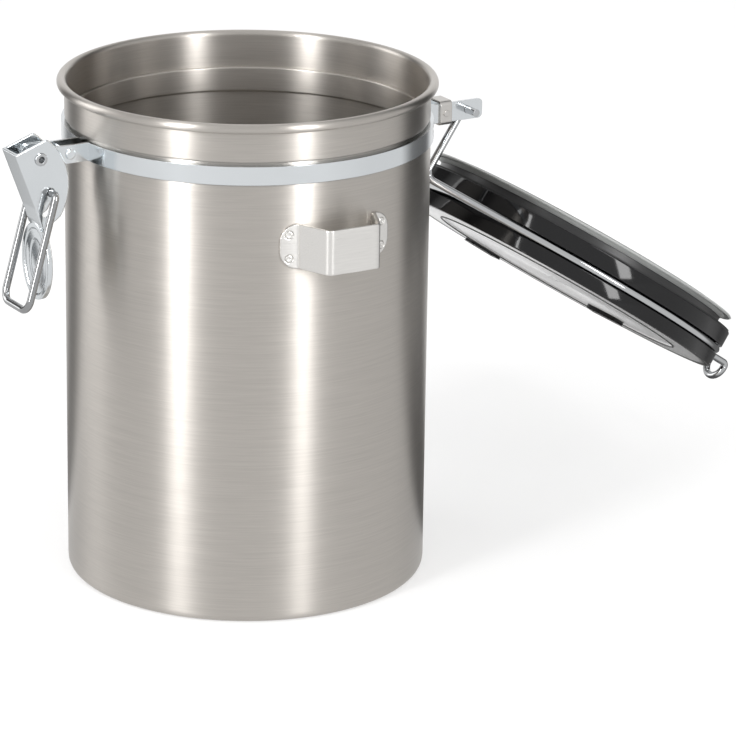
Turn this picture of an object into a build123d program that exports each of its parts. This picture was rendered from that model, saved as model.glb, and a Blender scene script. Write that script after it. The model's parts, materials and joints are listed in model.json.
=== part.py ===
from build123d import *
import math
import os

# Clamp-lid food canister, millimetres. Origin at the centre of the base, on the surface it stands on.
# +Z up, lid hinge on +X, latch on -X, scoop clip on -Y. It is built with the lid swung fully open.

# Canister
body_radius = 61.0
rim_height = 171.2
wall = 0.7
base_corner = 3.0
base_panel_radius = 50.0
base_panel_rise = 1.5
panel_slope = 1.5
neck_height = 13.2
neck_inset = 0.1
neck_round = 1.5
shoulder = 1.2
groove_width = 7.1
groove_depth = 1.6
curl_radius = 1.6

# Scoop clip
clip_height = 15.0
clip_below_rim = 41.0
clip_sheet = 1.0
clip_reach = 11.2
clip_plate_width = 18.8
clip_foot_width = 28.5
clip_width = 40.2
clip_turn = -1.0
clip_bend = 1.6
flange_corner = 6.0
weld_radius = 1.3
weld_spacing = 8.0
weld_proud = 0.15

# Neck band and its ears
band_height = 6.1
band_sheet = 1.0
band_stand = 1.0
band_lip = 0.8
band_above_groove = 0.15
lip_clearance = 0.05
hinge_ear_gap = 5.0
latch_ear_gap = 6.0
ear_sheet = 1.0
ear_overlap = 0.5

# Lid hinge
hinge_reach = 18.3
hinge_offset = 8.5
hinge_drop = 2.0
tongue_height = 6.7
tongue_beyond = 5.8
tongue_corner = 1.6
joggle_start = 0.15
joggle_end = 0.5
collar_to_hinge = 6.8
collar_width = 4.6
collar_sheet = 0.9
collar_corner = 1.6
collar_clearance = 0.05
collar_rivet_radius = 0.8
collar_head_radius = 1.2
collar_head_height = 0.35
far_ear_past_collar = 0.6
open_angle = 213.96
hinge_clearance = 0.08

# Latch
latch_reach = 18.5
tie_rivet_from_pivot = 11.2
tie_rivet_radius = 1.1
tie_head_radius = 1.7
rivet_head_height = 0.7
pivot_rivet_radius = 1.6
pivot_rivet_bore = 1.1
pivot_head_radius = 2.15
pivot_head_height = 0.5
pivot_clearance = 0.05
head_clearance = 0.08
lever_sheet = 1.0
lever_clearance = 0.1
lever_web_top = (-9.0, 2.4)
lever_web_bottom = (-1.9, -16.6)
lever_peak = (2.3, 6.4)
lever_cheek_middle = (10.1, -7.6)
lever_cheek_end = (6.9, -20.2)
lever_neck_z = -23.4
lever_edge_round = 1.6
slot_middle = (2.2, -17.0)
slot_length = 5.5
slot_width = 2.2
slot_lean = 75.0
tab_x = 0.8
tab_width = 19.0
tab_length = 26.0
tab_top_z = -22.6
tab_rim_width = 1.8
tab_rim_height = 2.0
tab_recess_width = 9.0
tab_recess_length = 15.0
tab_recess_depth = 0.35
loop_pivot = (3.5, -11.6)
loop_wire_radius = 1.25
loop_clearance = 0.06
loop_half_width = 8.75
loop_length = 39.6
loop_tilt = 15.8
loop_end_bend = 1.6
loop_corner = 4.0
loop_end_inside = 0.1

# Wire bail
bail_wire_radius = 1.3
bail_end_beyond = 5.5
bail_side_gap = 0.3
bail_pin_bend = 1.4
bail_arm_bend = 3.5
bail_join_from_elbow = 11.0
bail_join_overlap = 0.4
hook_half_width = 4.6
hook_reach = 22.4
hook_rise = 6.2
hook_bend = 1.5
hook_root_bend = 2.0

# Lid, heights measured along its axis from the plane of the bail wire, + towards the lid's top
lid_overhang = 1.0
lid_wall_height = 7.2
gasket_sheet = 0.6
seat_gap = 0.1
wire_groove_half = 1.6
wire_gap = 0.02
skirt_inset = 0.4
skirt_shoulder = 5.5
skirt_top = 6.5
crown_inset = 1.1
plate_inset = 1.6
shell_wall = 5.0
shell_ledge = -4.5
deck_bottom = 1.8
deck_top = 3.4
deck_vent_radius = 4.0
plate_top = 6.4
plate_sheet = 0.6
plate_gap = 0.1
dial_inset = 13.8
dial_depth = 0.4
dial_slope = 0.4
window_width = 13.0
window_height = 4.5
window_corner = 1.0
day_window_out = 3.8
day_window_angle = -88.0
month_window_in = 7.1
month_window_angle = -20.0
vent_count = 6
vent_circle_radius = 3.2
vent_radius = 0.7
gasket_inset = 0.6
plug_inset = 3.8
plug_depth = 5.2
plug_chamfer = 0.6
plug_wall = 1.8
liner_fit = 0.05

# Sealing lip: a soft ring in a groove of the plug, with a thin fin that reaches the mouth's wall
lip_gap = 0.2
lip_fin = 0.9
lip_fin_above = 0.5
lip_foot_depth = 0.8
lip_foot_height = 2.2
lip_foot_reach = 1.4

# Number wheels between the deck and the top plate
day_wheel_width = 6.2
month_wheel_width = 11.4
wheel_gap = 0.4
wheel_sheet = 1.6
wheel_float = 0.2
wheel_clearance = 0.08
hub_width = 7.0
dimple_radius = 0.7
dimple_depth = 0.5
day_count = 31
month_count = 12

# One-way valve in the middle of the liner
valve_radius = 8.0
valve_flange_radius = 11.0
valve_flange = 1.0
valve_hole_radius = 1.0
valve_hole_circle = 4.4
valve_hole_count = 6
stem_radius = 1.2
stem_height = 2.0
stem_clearance = 0.1
membrane_radius = 6.4
membrane_sheet = 0.8
valve_cap_sheet = 1.2
valve_cap_height = 4.2
valve_cap_hole = 0.9
valve_cap_circles = (3.4, 7.2)
valve_cap_counts = (6, 12)

# Heights and radii that follow from the sizes above
groove_top = rim_height - neck_height
groove_bottom = groove_top - groove_width
groove_floor = body_radius - groove_depth
neck_radius = body_radius - neck_inset
mouth_radius = neck_radius - wall
band_low = groove_bottom + band_above_groove
band_high = band_low + band_height
band_z = (band_low + band_high) / 2
band_outer = body_radius + band_stand
band_inner = band_outer - band_sheet
hinge_radius = body_radius + hinge_reach
hinge_z = band_z - hinge_drop
hinge_y = -hinge_offset
latch_pivot_radius = body_radius + latch_reach
lid_radius = body_radius + lid_overhang
skirt_radius = lid_radius - skirt_inset
crown_radius = lid_radius - crown_inset
plate_radius = lid_radius - plate_inset
shell_bore = lid_radius - shell_wall
dial_radius = plate_radius - dial_inset
day_window_radius = dial_radius + day_window_out
month_window_radius = dial_radius - month_window_in
day_wheel_inner = dial_radius + wheel_gap / 2
day_wheel_outer = day_wheel_inner + day_wheel_width
month_wheel_outer = dial_radius - wheel_gap / 2
month_wheel_inner = month_wheel_outer - month_wheel_width
hub_inner = month_wheel_inner - hub_width
gasket_outer = lid_radius - gasket_inset
gasket_inner = shell_bore + gasket_inset
plug_radius = mouth_radius - plug_inset
lip_radius = mouth_radius - lip_gap
lid_plane_z = rim_height + seat_gap + gasket_sheet + lid_wall_height
bail_arm_length = lid_plane_z - hinge_z
groove_radius = lid_radius - 2 * bail_wire_radius - 0.1
ring_radius = groove_radius + bail_wire_radius + wire_gap
hinge_ear_outer = hinge_ear_gap / 2 + ear_sheet
latch_ear_outer = latch_ear_gap / 2 + ear_sheet
arm_side = hinge_offset + hinge_ear_gap / 2 - bail_side_gap - bail_wire_radius
hook_radius = ring_radius + hook_reach
lever_inner = 2 * (latch_ear_outer + lever_clearance)
lever_width = lever_inner + 2 * lever_sheet
pivot_x = -latch_pivot_radius
plate_bottom = plate_top - plate_sheet
gasket_bottom = -lid_wall_height - gasket_sheet
plug_bottom = gasket_bottom - plug_depth
plug_floor = plug_bottom + plug_wall
wheel_bottom = deck_top + wheel_float

# Frame of the open lid: x towards the hook, y towards -Y, z out of the lid's top
droop = math.radians(open_angle - 180)
lid_x = Vector(math.cos(droop), 0, -math.sin(droop))
lid_z = Vector(-math.sin(droop), 0, -math.cos(droop))
lid_origin = Vector(hinge_radius, 0, hinge_z) + lid_x * hinge_radius + lid_z * bail_arm_length
lid_frame = Plane(origin=lid_origin, x_dir=lid_x, z_dir=lid_z)
lid_section = Plane(origin=lid_origin, x_dir=lid_x, z_dir=(0, 1, 0))
lid_axis = Axis(lid_origin, lid_z)

os.makedirs("parts", exist_ok=True)


def save(part, name):
    """Labels a finished piece and writes its STEP file."""
    part.label = name
    export_step(part, f"parts/{name}.step")


def polar(radius, angle):
    """Point of the lid plane at a radius and an angle in degrees."""
    return (radius * math.cos(math.radians(angle)), radius * math.sin(math.radians(angle)))


def lever_point(offset):
    """Point of the XZ plane at an offset from the lever's pivot."""
    return (pivot_x + offset[0], band_z + offset[1])


def box_between(low, high):
    """Rectangle of the current sketch between two corners."""
    with Locations(((low[0] + high[0]) / 2, (low[1] + high[1]) / 2)):
        Rectangle(high[0] - low[0], high[1] - low[1])


# ---- Canister body: one drawn shell, rolled over at the rim ----
curl_z = rim_height - curl_radius
curl_x = mouth_radius + curl_radius
curl_meet = curl_z - math.sqrt(curl_radius**2 - (curl_x - neck_radius) ** 2)
shoulder_x = body_radius - shoulder
round_x = neck_radius - neck_round
neck_step = round_x > groove_floor + 0.001

with BuildPart() as canister_body:
    with BuildSketch(Plane.XZ):
        with BuildLine():
            Polyline(
                (0, base_panel_rise),
                (base_panel_radius, base_panel_rise),
                (base_panel_radius + panel_slope, 0),
                (body_radius - base_corner, 0),
            )
            RadiusArc((body_radius - base_corner, 0), (body_radius, base_corner), -base_corner)
            Polyline(
                (body_radius, base_corner),
                (body_radius, groove_bottom - shoulder),
            )
            RadiusArc((body_radius, groove_bottom - shoulder), (shoulder_x, groove_bottom), -shoulder)
            Polyline((shoulder_x, groove_bottom), (groove_floor, groove_bottom), (groove_floor, groove_top))
            if neck_step:
                Line((groove_floor, groove_top), (round_x, groove_top))
            RadiusArc((round_x, groove_top), (neck_radius, groove_top + neck_round), -neck_round)
            Line((neck_radius, groove_top + neck_round), (neck_radius, curl_meet))
            ThreePointArc((neck_radius, curl_meet), (curl_x + curl_radius, curl_z), (mouth_radius, curl_z))
            Polyline(
                (mouth_radius, curl_z),
                (mouth_radius, groove_top + neck_round),
                (groove_floor - wall, groove_top + wall),
                (groove_floor - wall, groove_bottom - wall),
                (body_radius - wall, groove_bottom - shoulder),
                (body_radius - wall, base_corner),
            )
            RadiusArc((body_radius - wall, base_corner), (body_radius - base_corner, wall), base_corner - wall)
            Polyline(
                (body_radius - base_corner, wall),
                (base_panel_radius + panel_slope, wall),
                (base_panel_radius, base_panel_rise + wall),
                (0, base_panel_rise + wall),
                (0, base_panel_rise),
            )
        make_face()
    revolve(axis=Axis.Z)
save(canister_body.part, "canister_body")

# ---- Scoop clip: bent strip spot-welded to the wall by its two flanges ----
clip_bottom = rim_height - clip_below_rim - clip_height / 2
foot_y = -body_radius
plate_y = -body_radius - clip_reach
flange_radius = body_radius + clip_sheet
flange_end = math.degrees(math.asin(clip_width / 2 / flange_radius))
weld_angle = math.degrees(math.asin((clip_width + clip_foot_width) / 4 / flange_radius))
foot_end = math.degrees(math.asin(clip_foot_width / 2 / flange_radius))
flange_length = math.radians(flange_end - foot_end) * flange_radius
flange_round = min(flange_corner, flange_length * 0.99)
weld_planes = [
    Plane(
        origin=(0, 0, clip_bottom + clip_height / 2 + level * weld_spacing / 2),
        x_dir=(0, 0, 1),
        z_dir=Vector(0, -1, 0).rotate(Axis.Z, side * weld_angle),
    )
    for side in (-1, 1)
    for level in (-1, 1)
]

with BuildPart() as scoop_clip:
    with BuildSketch(Plane.XY.offset(clip_bottom)):
        with BuildLine():
            rim_left = Vector(0, -flange_radius).rotate(Axis.Z, -flange_end)
            rim_right = Vector(0, -flange_radius).rotate(Axis.Z, flange_end)
            ThreePointArc(rim_left, (0, -flange_radius), rim_right)
            Polyline(rim_right, (0, 0), rim_left)
        make_face()
        with BuildLine():
            Polyline(
                (-clip_foot_width / 2, foot_y + clip_reach),
                (-clip_foot_width / 2, foot_y),
                (-clip_plate_width / 2, plate_y),
                (clip_plate_width / 2, plate_y),
                (clip_foot_width / 2, foot_y),
                (clip_foot_width / 2, foot_y + clip_reach),
                close=True,
            )
        make_face()
    extrude(amount=clip_height)
    fillet(scoop_clip.edges().filter_by(Axis.Z).group_by(Axis.Y)[0], clip_bend + clip_sheet)
    with BuildSketch(Plane.XY.offset(clip_bottom)):
        with BuildLine():
            inset = clip_sheet * 1.3
            Polyline(
                (-clip_foot_width / 2 + inset, foot_y + clip_reach),
                (-clip_foot_width / 2 + inset, foot_y),
                (-clip_plate_width / 2 + inset / 2, plate_y + clip_sheet),
                (clip_plate_width / 2 - inset / 2, plate_y + clip_sheet),
                (clip_foot_width / 2 - inset, foot_y),
                (clip_foot_width / 2 - inset, foot_y + clip_reach),
                close=True,
            )
        make_face()
        Circle(body_radius)
    extrude(amount=clip_height, mode=Mode.SUBTRACT)
    corners = scoop_clip.edges().filter_by(lambda e: abs(e.center().X) > clip_width / 2 - clip_sheet)
    fillet(corners.filter_by(lambda e: e.length < 2 * clip_sheet), flange_round)
    for plane in weld_planes:
        with BuildSketch(plane):
            Circle(weld_radius)
        extrude(amount=flange_radius + 1, mode=Mode.SUBTRACT)
save(scoop_clip.part.rotate(Axis.Z, clip_turn), "scoop_clip")

with BuildPart() as clip_spot_welds:
    for plane in weld_planes:
        with BuildSketch(plane):
            Circle(weld_radius)
        extrude(amount=flange_radius + weld_proud)
    with BuildSketch(Plane.XY.offset(clip_bottom)):
        Circle(body_radius)
    extrude(amount=clip_height, mode=Mode.SUBTRACT)
save(clip_spot_welds.part.rotate(Axis.Z, clip_turn), "clip_spot_welds")

# ---- Neck band: two channel-section halves whose flat ears carry the hinge and the latch ----
collar_start = hinge_radius - collar_to_hinge - collar_width
collar_end = hinge_radius - collar_to_hinge
collar_middle = collar_start + collar_width / 2
collar_height = tongue_height + 2 * (collar_sheet + collar_clearance)
tie_x = pivot_x + tie_rivet_from_pivot


def ear_root(y):
    """Distance out at which an ear whose outer face is at y starts, just inside the band's surface."""
    return math.sqrt(band_outer**2 - y**2) - ear_overlap


def hinge_ear(root, tip):
    """Outline of the ear on the hinge side, stepped down from the band to the hinge's height."""
    joggle_x = root + joggle_start * (collar_start - root)
    flat_x = root + joggle_end * (collar_start - root)
    low = hinge_z - tongue_height / 2
    high = hinge_z + tongue_height / 2
    bottom = [(root, band_low), (joggle_x, band_low), (flat_x, low), (tip, low)]
    top = [(tip, high), (flat_x, high), (joggle_x, band_high), (root, band_high)]
    return bottom + top


def half_band(side):
    """Half of the neck band; side -1 is the front one, with the tongue that the lid hangs on."""
    tip = hinge_radius + tongue_beyond if side < 0 else collar_end + far_ear_past_collar
    hinge_face = hinge_y + side * hinge_ear_gap / 2
    hinge_root = ear_root(abs(hinge_y) + hinge_ear_outer if side < 0 else abs(hinge_face))
    latch_root = ear_root(latch_ear_outer)
    lip_inner = groove_floor + lip_clearance
    with BuildPart() as band:
        with BuildSketch(Plane.XZ):
            box_between((band_inner, band_low), (band_outer, band_high))
            box_between((lip_inner, band_low), (band_outer, band_low + band_lip))
            box_between((lip_inner, band_high - band_lip), (band_outer, band_high))
        revolve(axis=Axis.Z)
        with BuildSketch(Plane.XY.offset(band_low)):
            with Locations((body_radius, hinge_face - side * 2 * body_radius)):
                Rectangle(2 * body_radius, 4 * body_radius)
            with Locations((-body_radius, side * (latch_ear_gap / 2 - 2 * body_radius))):
                Rectangle(2 * body_radius, 4 * body_radius)
        extrude(amount=band_height, mode=Mode.SUBTRACT)
        with BuildSketch(Plane.XZ.offset(-hinge_face)):
            with BuildLine():
                Polyline(*hinge_ear(hinge_root, tip), close=True)
            make_face()
            fillet(vertices().group_by(Axis.X)[-1], tongue_corner)
            with Locations((collar_middle, hinge_z)):
                Circle(collar_rivet_radius, mode=Mode.SUBTRACT)
            if side < 0:
                with Locations((hinge_radius, hinge_z)):
                    Circle(bail_wire_radius + hinge_clearance, mode=Mode.SUBTRACT)
        extrude(amount=-side * ear_sheet)
        with BuildSketch(Plane.XZ.offset(-side * latch_ear_gap / 2)):
            box_between((pivot_x, band_low), (-latch_root, band_high))
            with Locations((pivot_x, band_z)):
                Circle(band_height / 2)
                Circle(pivot_rivet_radius, mode=Mode.SUBTRACT)
            with Locations((tie_x, band_z)):
                Circle(tie_rivet_radius, mode=Mode.SUBTRACT)
        extrude(amount=-side * ear_sheet)
    return band.part


save(half_band(-1), "neck_band_front")
save(half_band(1), "neck_band_rear")

with BuildPart() as hinge_collar:
    with BuildSketch(Plane.YZ.offset(collar_start)):
        with Locations((hinge_y, hinge_z)):
            RectangleRounded(2 * (hinge_ear_outer + collar_sheet), collar_height, collar_corner)
            Rectangle(2 * hinge_ear_outer, collar_height - 2 * collar_sheet, mode=Mode.SUBTRACT)
    extrude(amount=collar_width)
    with BuildSketch(Plane.XZ.offset(hinge_offset)):
        with Locations((collar_middle, hinge_z)):
            Circle(collar_rivet_radius)
    extrude(amount=hinge_ear_outer + collar_sheet, both=True, mode=Mode.SUBTRACT)
save(hinge_collar.part, "hinge_collar")


# ---- Rivets through the ears, all along Y ----
def rivet(x, z, grip, radius, head_radius, head_height, bore=0.0):
    """Round rivet with a low domed head at each end, hollow when it has a bore."""
    with BuildPart() as pin:
        with BuildSketch(Plane.XZ):
            with Locations((x, z)):
                Circle(radius)
        extrude(amount=grip / 2, both=True)
        for side in (-1, 1):
            with BuildSketch(Plane.XZ.offset(side * grip / 2)):
                with Locations((x, z)):
                    Circle(head_radius)
            extrude(amount=side * head_height)
        outer_edges = pin.edges().group_by(Axis.Y)
        fillet(outer_edges[0] + outer_edges[-1], head_height * 0.6)
        if bore:
            with BuildSketch(Plane.XZ):
                with Locations((x, z)):
                    Circle(bore)
            extrude(amount=grip / 2 + head_height, both=True, mode=Mode.SUBTRACT)
    return pin.part


collar_grip = 2 * (hinge_ear_outer + collar_sheet)
pivot_grip = lever_width + 2 * head_clearance
collar_rivet = rivet(
    collar_middle, hinge_z, collar_grip, collar_rivet_radius, collar_head_radius, collar_head_height
)
save(collar_rivet.moved(Location((0, hinge_y, 0))), "collar_rivet")
save(
    rivet(tie_x, band_z, 2 * latch_ear_outer, tie_rivet_radius, tie_head_radius, rivet_head_height),
    "latch_tie_rivet",
)
save(
    rivet(
        pivot_x, band_z, pivot_grip, pivot_rivet_radius, pivot_head_radius, pivot_head_height, pivot_rivet_bore
    ),
    "latch_pivot_rivet",
)

# ---- Latch lever: pressed channel with a web outside, two cheeks and a dished thumb tab ----
web_line = (Vector(*lever_web_bottom) - Vector(*lever_web_top)).normalized()
web_inward = Vector(-web_line.Y, web_line.X) * lever_sheet
inner_top = Vector(*lever_web_top) + web_inward - web_line * 4
inner_bottom = Vector(*lever_web_bottom) + web_inward
neck_outer = tab_x - lever_sheet / 2
neck_inner = tab_x + lever_sheet / 2
tab_middle_z = band_z + tab_top_z - tab_length / 2
cavity_x = lever_cheek_middle[0] + 4

with BuildPart() as latch_lever:
    with BuildSketch(Plane.XZ.offset(-lever_width / 2)):
        with BuildLine():
            Line(lever_point(lever_web_top), lever_point(lever_peak))
            ThreePointArc(
                lever_point(lever_peak), lever_point(lever_cheek_middle), lever_point(lever_cheek_end)
            )
            Polyline(
                lever_point(lever_cheek_end),
                lever_point((neck_inner + lever_sheet, lever_neck_z)),
                lever_point((neck_outer, lever_neck_z)),
                lever_point(lever_web_bottom),
                lever_point(lever_web_top),
            )
        make_face()
        fillet(vertices().group_by(Axis.Y)[-1], lever_edge_round)
    extrude(amount=lever_width)
    with BuildSketch(Plane.XZ.offset(-lever_inner / 2)):
        with BuildLine():
            Polyline(
                lever_point((inner_top.X, inner_top.Y)),
                lever_point((inner_bottom.X, inner_bottom.Y)),
                lever_point((neck_inner, lever_neck_z)),
                lever_point((cavity_x, lever_neck_z)),
                lever_point((cavity_x, lever_peak[1] + 4)),
                lever_point((inner_top.X, lever_peak[1] + 4)),
                close=True,
            )
        make_face()
    extrude(amount=lever_inner, mode=Mode.SUBTRACT)
    with BuildSketch(Plane.YZ.offset(pivot_x + neck_outer)):
        with Locations((0, tab_middle_z)):
            Ellipse(tab_width / 2, tab_length / 2)
    extrude(amount=lever_sheet)
    with BuildSketch(Plane.YZ.offset(pivot_x + tab_x - tab_rim_height / 2)):
        with Locations((0, tab_middle_z)):
            Ellipse(tab_width / 2, tab_length / 2)
            Ellipse(tab_width / 2 - tab_rim_width, tab_length / 2 - tab_rim_width, mode=Mode.SUBTRACT)
    extrude(amount=tab_rim_height)
    with BuildSketch(Plane.YZ.offset(pivot_x + neck_outer)):
        with Locations((0, tab_middle_z)):
            Ellipse(tab_recess_width / 2, tab_recess_length / 2)
    extrude(amount=tab_recess_depth, mode=Mode.SUBTRACT)
    with BuildSketch(Plane.XZ.offset(-lever_width / 2)):
        with Locations(lever_point((0, 0))):
            Circle(pivot_rivet_radius + pivot_clearance)
        with Locations(lever_point(loop_pivot)):
            Circle(loop_wire_radius + loop_clearance)
        with Locations(lever_point(slot_middle)):
            SlotOverall(slot_length, slot_width, rotation=slot_lean)
    extrude(amount=lever_width, mode=Mode.SUBTRACT)
save(latch_lever.part, "latch_lever")

# ---- Latch loop: wire stirrup hanging from the lever, both ends turned in through the cheeks ----
loop_x = pivot_x + loop_pivot[0]
loop_z = band_z + loop_pivot[1]
loop_down = Vector(-math.sin(math.radians(loop_tilt)), 0, -math.cos(math.radians(loop_tilt)))
loop_frame = Plane(origin=(loop_x, 0, loop_z), x_dir=(0, 1, 0), z_dir=Vector(0, 1, 0).cross(loop_down))
loop_end = lever_inner / 2 + loop_end_inside

with BuildPart() as latch_loop:
    with BuildLine(loop_frame) as loop_path:
        Polyline(
            (-loop_end, 0),
            (-loop_half_width, 0),
            (-loop_half_width, loop_length),
            (loop_half_width, loop_length),
            (loop_half_width, 0),
            (loop_end, 0),
        )
        loop_corners = loop_path.vertices().filter_by(lambda v: abs(v.Y) > loop_end + 0.1)
        fillet(loop_corners.group_by(Axis.Z)[0], loop_corner)
        fillet(loop_corners.group_by(Axis.Z)[-1], loop_end_bend)
    with BuildSketch(Plane(origin=loop_path.line @ 0, z_dir=loop_path.line % 0)):
        Circle(loop_wire_radius)
    sweep(path=loop_path.line)
save(latch_loop.part, "latch_loop")

# ---- Lid bail: one bent wire, pin, arm, ring with the upturned hook, welded back to its own arm ----
elbow = Vector(-hinge_radius, arm_side)
elbow_angle = math.degrees(math.atan2(elbow.Y, elbow.X))
near_angle = elbow_angle - math.degrees(math.acos(ring_radius / elbow.length))
near_tangent = Vector(*polar(ring_radius, near_angle))
to_ring = (near_tangent - elbow).normalized()
join = elbow + to_ring * bail_join_from_elbow
join += Vector(to_ring.Y, -to_ring.X) * (2 * bail_wire_radius - bail_join_overlap)
join_angle = math.degrees(math.atan2(join.Y, join.X)) % 360
far_angle = join_angle + math.degrees(math.acos(ring_radius / join.length))
far_tangent = Vector(*polar(ring_radius, far_angle))
root_y = hook_half_width + hook_root_bend
root_x = math.sqrt((ring_radius + hook_root_bend) ** 2 - root_y**2)
root_angle = math.degrees(math.atan2(root_y, root_x))
root_middle = (180 + root_angle + 270) / 2
hook_top = hook_rise - hook_half_width
pin_end = hinge_offset + hinge_ear_outer + bail_end_beyond


def hook_half(side):
    """Points of half the hook: root arc from the ring, straight leg, upturn, upright leg."""
    y = side * hook_half_width
    root_arc = [
        polar(ring_radius, side * root_angle),
        (
            root_x + hook_root_bend * math.cos(math.radians(root_middle)),
            side * (root_y + hook_root_bend * math.sin(math.radians(root_middle))),
        ),
        (root_x, y),
    ]
    upturn = [
        (hook_radius - hook_bend, y, 0),
        (hook_radius - hook_bend + hook_bend * math.sqrt(0.5), y, hook_bend - hook_bend * math.sqrt(0.5)),
        (hook_radius, y, hook_bend),
    ]
    return root_arc, upturn


with BuildPart() as lid_bail:
    with BuildLine(lid_frame) as bail_path:
        FilletPolyline(
            (-hinge_radius, pin_end, -bail_arm_length),
            (-hinge_radius, arm_side, -bail_arm_length),
            (elbow.X, elbow.Y, 0),
            (near_tangent.X, near_tangent.Y, 0),
            radius=(bail_pin_bend, bail_arm_bend),
        )
        CenterArc((0, 0), ring_radius, near_angle, root_angle - near_angle)
        for side in (1, -1):
            root_arc, upturn = hook_half(side)
            ThreePointArc(*root_arc)
            Line(root_arc[-1], upturn[0])
            ThreePointArc(*upturn)
            Line(upturn[-1], (hook_radius, side * hook_half_width, hook_top))
        ThreePointArc(
            (hook_radius, hook_half_width, hook_top),
            (hook_radius, 0, hook_rise),
            (hook_radius, -hook_half_width, hook_top),
        )
        CenterArc((0, 0), ring_radius, -root_angle, far_angle - 360 + root_angle)
    bail_wire = bail_path.wires()[0]
    with BuildSketch(Plane(origin=bail_wire @ 0, z_dir=bail_wire % 0)):
        Circle(bail_wire_radius)
    sweep(path=bail_wire)
    with BuildSketch(Plane(origin=bail_wire @ 1, z_dir=bail_wire % 1)):
        Circle(bail_wire_radius)
    extrude(amount=(far_tangent - join).length)
save(lid_bail.part, "lid_bail")

# ---- Lid shell: wall, wire groove, skirt and the deck that the number wheels lie on ----
with BuildPart() as lid_shell:
    with BuildSketch(lid_section):
        with BuildLine():
            Polyline(
                (deck_vent_radius, deck_bottom),
                (shell_bore - 1, deck_bottom),
                (shell_bore - 1, shell_ledge),
                (shell_bore, shell_ledge),
                (shell_bore, -lid_wall_height),
                (lid_radius, -lid_wall_height),
                (lid_radius, -wire_groove_half),
                (groove_radius, -wire_groove_half),
                (groove_radius, wire_groove_half),
                (skirt_radius, wire_groove_half),
                (skirt_radius, skirt_shoulder),
            )
            TangentArc((skirt_radius, skirt_shoulder), (crown_radius, skirt_top), tangent=(0, 1))
            Polyline(
                (crown_radius, skirt_top),
                (plate_radius + plate_gap, skirt_top),
                (plate_radius + plate_gap, plate_bottom),
                (day_wheel_outer + wheel_clearance, plate_bottom),
                (day_wheel_outer + wheel_clearance, deck_top),
                (deck_vent_radius, deck_top),
                (deck_vent_radius, deck_bottom),
            )
        make_face()
    revolve(axis=lid_axis)
save(lid_shell.part, "lid_shell")

# ---- Top plate: pressed disc with a sunk dial, two windows and a few vents ----
with BuildPart() as lid_top_plate:
    with BuildSketch(lid_section):
        with BuildLine():
            Polyline(
                (0, plate_bottom - dial_depth),
                (dial_radius - dial_slope, plate_bottom - dial_depth),
                (dial_radius, plate_bottom),
                (plate_radius, plate_bottom),
                (plate_radius, plate_top),
                (dial_radius, plate_top),
                (dial_radius - dial_slope, plate_top - dial_depth),
                (0, plate_top - dial_depth),
                close=True,
            )
        make_face()
    revolve(axis=lid_axis)
    with BuildSketch(lid_frame.offset(plate_bottom - dial_depth)):
        for radius, angle in (
            (day_window_radius, day_window_angle),
            (month_window_radius, month_window_angle),
        ):
            with Locations(Location((*polar(radius, angle), 0), (0, 0, angle + 90))):
                RectangleRounded(window_width, window_height, window_corner)
        with PolarLocations(vent_circle_radius, vent_count):
            Circle(vent_radius)
    extrude(amount=dial_depth + plate_sheet, mode=Mode.SUBTRACT)
save(lid_top_plate.part, "lid_top_plate")


# ---- Number wheels, with a fingertip dimple between numbers, and the hub the inner one runs on ----
def number_wheel(outer, inner, count):
    """Flat ring with evenly spaced dimples in its upper face."""
    with BuildPart() as wheel:
        with BuildSketch(lid_frame.offset(wheel_bottom)):
            Circle(outer)
            Circle(inner, mode=Mode.SUBTRACT)
        extrude(amount=wheel_sheet)
        with BuildSketch(lid_frame.offset(wheel_bottom + wheel_sheet)):
            with PolarLocations((outer + inner) / 2, count):
                Circle(dimple_radius)
        extrude(amount=-dimple_depth, mode=Mode.SUBTRACT)
    return wheel.part


save(number_wheel(day_wheel_outer, day_wheel_inner, day_count), "day_wheel")
save(number_wheel(month_wheel_outer, month_wheel_inner, month_count), "month_wheel")

with BuildPart() as dial_hub:
    with BuildSketch(lid_frame.offset(deck_top)):
        Circle(month_wheel_inner - wheel_clearance)
        Circle(hub_inner, mode=Mode.SUBTRACT)
    extrude(amount=plate_bottom - dial_depth - deck_top)
save(dial_hub.part, "dial_hub")

# ---- Gasket, and the plug-shaped liner snapped into the shell's bore ----
with BuildPart() as lid_gasket:
    with BuildSketch(lid_frame.offset(gasket_bottom)):
        Circle(gasket_outer)
        Circle(gasket_inner, mode=Mode.SUBTRACT)
    extrude(amount=gasket_sheet)
save(lid_gasket.part, "lid_gasket")

collar_radius = shell_bore - liner_fit
lip_groove_floor = plug_radius - lip_foot_depth
lip_low = plug_bottom + lip_fin_above
lip_foot_top = lip_low + lip_foot_height
with BuildPart() as lid_liner:
    with BuildSketch(lid_section):
        with BuildLine():
            Polyline(
                (valve_radius, plug_bottom),
                (plug_radius - plug_chamfer, plug_bottom),
                (plug_radius, lip_low),
                (lip_groove_floor, lip_low),
                (lip_groove_floor, lip_foot_top),
                (plug_radius, lip_foot_top),
                (plug_radius, gasket_bottom),
                (collar_radius, gasket_bottom),
                (collar_radius, shell_ledge),
                (collar_radius - plug_wall, shell_ledge),
                (lip_groove_floor - plug_wall / 2, plug_floor + plug_wall),
                (lip_groove_floor - plug_wall / 2, plug_floor),
                (valve_radius, plug_floor),
                close=True,
            )
        make_face()
    revolve(axis=lid_axis)
save(lid_liner.part, "lid_liner")

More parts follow.
